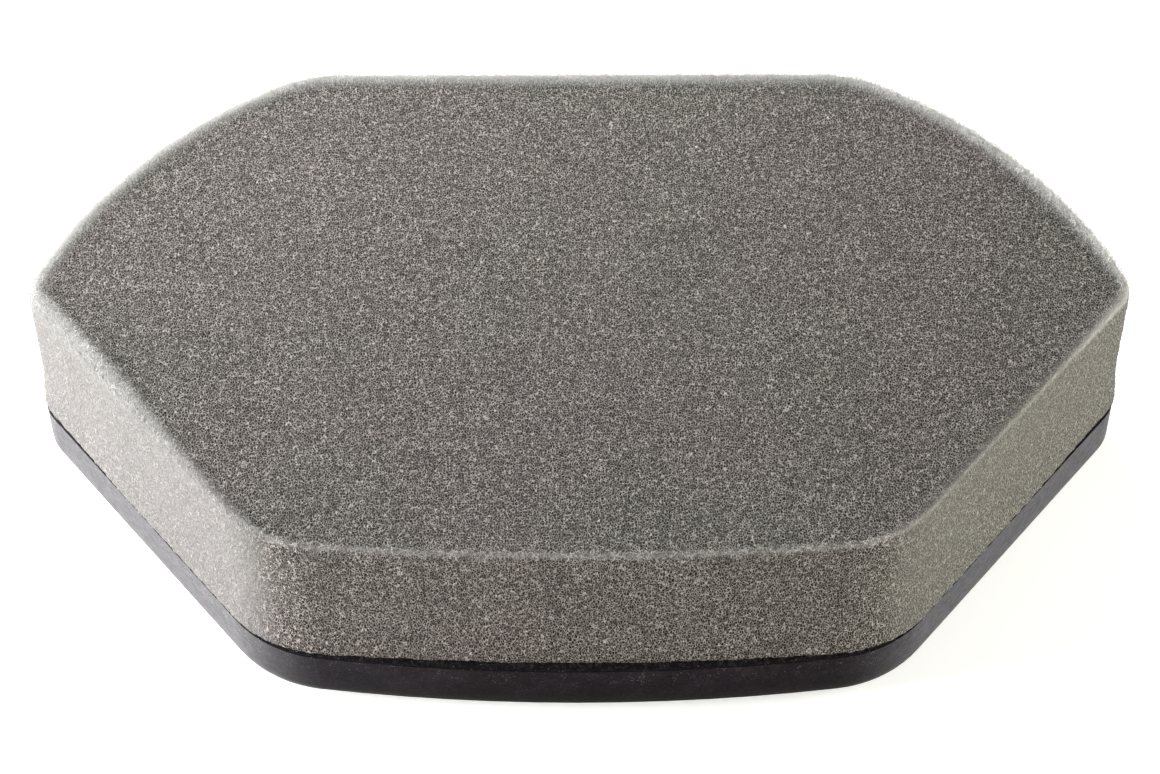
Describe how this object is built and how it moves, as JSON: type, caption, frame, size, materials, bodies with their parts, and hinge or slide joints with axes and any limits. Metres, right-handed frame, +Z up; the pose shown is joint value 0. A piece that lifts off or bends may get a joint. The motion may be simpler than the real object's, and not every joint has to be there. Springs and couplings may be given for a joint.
{
  "type": "foam filter pad",
  "caption": "Flat six-sided open-cell foam filter pad bonded to a moulded elastomer frame with a support grid over its window.",
  "frame": {"origin": "middle of the footprint, on the sealing face the pad lies on", "axes": "+X along the long axis, +Y towards the straight back side, +Z up through the foam"},
  "size_m": [0.2012, 0.1197, 0.042],
  "materials": {
    "filter_foam": "matte open-cell polyurethane foam, about 45 pores per inch, mid grey",
    "bond": "black elastomer soaked into foam cells, rough",
    "frame_elastomer": "black moulded polyurethane elastomer, satin",
    "grid_plastic": "black moulded polypropylene, matte"
  },
  "bodies": {
    "root": {"filter_foam": "filter_foam", "bond_layer": "bond", "base_frame": "frame_elastomer", "support_grid": "grid_plastic"}
  },
  "joints": []
}
